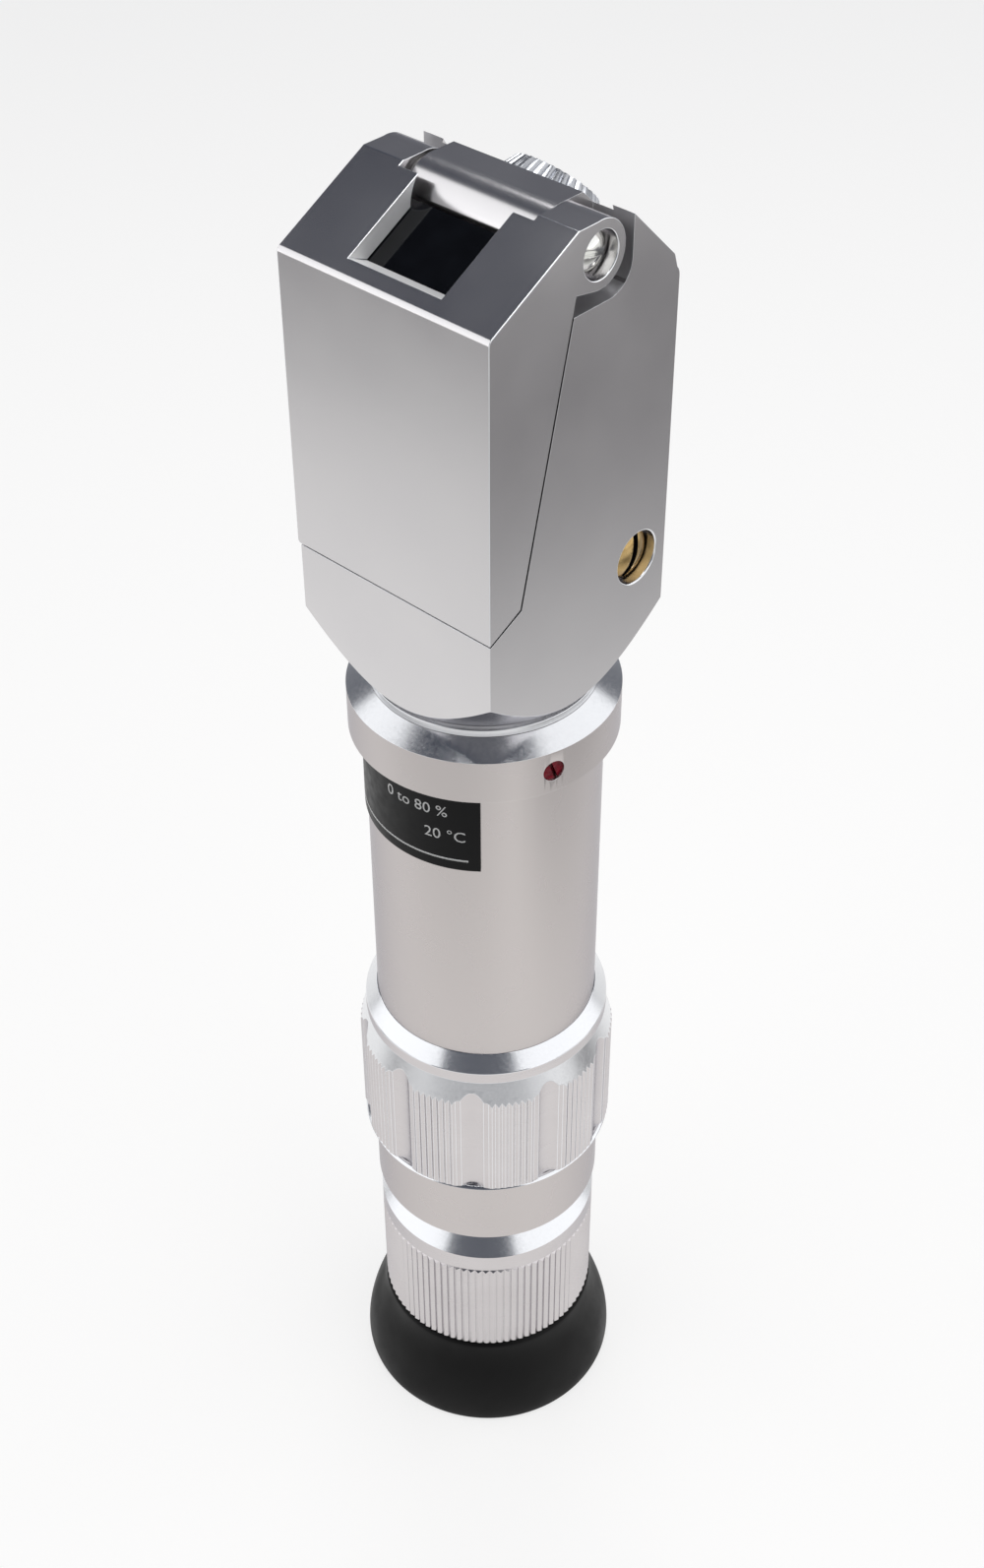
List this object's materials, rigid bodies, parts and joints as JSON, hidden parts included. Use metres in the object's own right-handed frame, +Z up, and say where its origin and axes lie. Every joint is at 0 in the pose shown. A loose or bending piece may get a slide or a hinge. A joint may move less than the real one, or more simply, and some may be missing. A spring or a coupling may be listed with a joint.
{
  "type": "hand refractometer",
  "caption": "Hand-held refractometer: square prism head with a hinged cover, round tube, fluted focus ring, knurled diopter ring and a rubber eyecup, standing upright.",
  "frame": {"origin": "centre of the eyecup's rim, in the plane the instrument stands on", "axes": "+Z up along the optical axis, towards the head; -Y towards the face with the prism cover; +X towards the face with the brass screw"},
  "size_m": [0.0384, 0.0384, 0.1959],
  "materials": {
    "satin_aluminium": "satin anodised",
    "bright_aluminium": "bright turned",
    "black_anodised": "matt black anodised",
    "clear_glass": "polished",
    "prism_glass": "polished",
    "dark_prism_glass": "polished entrance face, ground exit face",
    "brass": "turned",
    "steel": "turned",
    "nickel": "nickel plated",
    "black_rubber": "satin",
    "black_label": "satin black",
    "red_lacquer": "glossy red lacquer over steel",
    "seal_cement": "matt"
  },
  "bodies": {
    "head_and_tube": {"focus_retainer": "steel", "main_tube": "satin_aluminium", "tube_end_ring": "satin_aluminium", "reticle_cell": "black_anodised", "reticle": "clear_glass", "reticle_retainer": "black_anodised", "light_baffle": "black_anodised", "label_plate": "black_label", "collar": "satin_aluminium", "collar_lock_screw": "red_lacquer", "neck_ring": "bright_aluminium", "objective_cell": "black_anodised", "objective_front_lens": "clear_glass", "objective_rear_lens": "clear_glass", "objective_retainer": "black_anodised", "prism_box": "satin_aluminium", "measuring_prism": "prism_glass", "prism_seal": "seal_cement", "prism_carrier": "satin_aluminium", "carrier_screws": "steel", "cell_pins": "brass", "window_frame": "satin_aluminium", "window_pane": "clear_glass", "pane_retainer": "black_anodised", "shutter_stop": "steel", "knob_screw": "steel", "hinge_screws": "nickel", "hinge_washer": "steel"},
    "cover": {"cover_block": "satin_aluminium", "illuminating_prism": "dark_prism_glass"},
    "shutter_knob": {"shutter_knob": "satin_aluminium"},
    "zero_screw": {"zero_screw": "brass", "zero_screw_clip": "steel"},
    "wedge_cell": {"wedge_cell": "brass", "wedge_glass": "clear_glass", "wedge_retainer": "black_anodised"},
    "focus_ring": {"focus_ring": "satin_aluminium"},
    "eyepiece": {"eyepiece_barrel": "satin_aluminium", "focus_pins": "brass", "field_lens": "clear_glass", "field_lens_retainer": "black_anodised", "diopter_retainer": "steel"},
    "diopter_ring": {"diopter_ring": "satin_aluminium"},
    "eye_tube": {"eye_tube": "black_anodised", "eye_lens": "clear_glass", "inner_eye_lens": "clear_glass", "lens_spacer": "black_anodised", "eye_lens_retainer": "black_anodised", "diopter_pin": "brass", "eyecup": "black_rubber"}
  },
  "joints": [
    {"name": "cover_hinge", "type": "hinge", "parent": "head_and_tube", "child": "cover", "pos_m": [0, 0.0018, 0.192], "axis": [-1, 0, 0], "range_deg": [0, 105]},
    {"name": "shutter_turn", "type": "hinge", "parent": "head_and_tube", "child": "shutter_knob", "pos_m": [0, 0.01056, 0.19059], "axis": [0, 0.7071, 0.7071], "range_deg": [0, 90]},
    {"name": "zero_screw_turn", "type": "hinge", "parent": "head_and_tube", "child": "zero_screw", "pos_m": [0.0137, 0.01005, 0.1509], "axis": [1, 0, 0], "range_deg": [-45, 45]},
    {"name": "wedge_tilt", "type": "hinge", "parent": "head_and_tube", "child": "wedge_cell", "pos_m": [0, 0, 0.1509], "axis": [1, 0, 0], "range_deg": [-3.4, 3.4]},
    {"name": "focus_turn", "type": "hinge", "parent": "head_and_tube", "child": "focus_ring", "pos_m": [0, 0, 0.0645], "axis": [0, 0, 1], "range_deg": [0, 160]},
    {"name": "focus_travel", "type": "slide", "parent": "head_and_tube", "child": "eyepiece", "axis": [0, 0, -1], "range_m": [0, 0.004]},
    {"name": "diopter_turn", "type": "hinge", "parent": "eyepiece", "child": "diopter_ring", "pos_m": [0, 0, 0.028], "axis": [0, 0, 1], "range_deg": [0, 120]},
    {"name": "diopter_travel", "type": "slide", "parent": "eyepiece", "child": "eye_tube", "axis": [0, 0, -1], "range_m": [0, 0.002]}
  ],
  "couplings": [
    {"joint": "wedge_tilt", "follows": "zero_screw_turn", "ratio": 0.0737},
    {"joint": "focus_turn", "follows": "focus_travel", "rad_per_m": 698.1},
    {"joint": "diopter_turn", "follows": "diopter_travel", "rad_per_m": 1047.1}
  ]
}
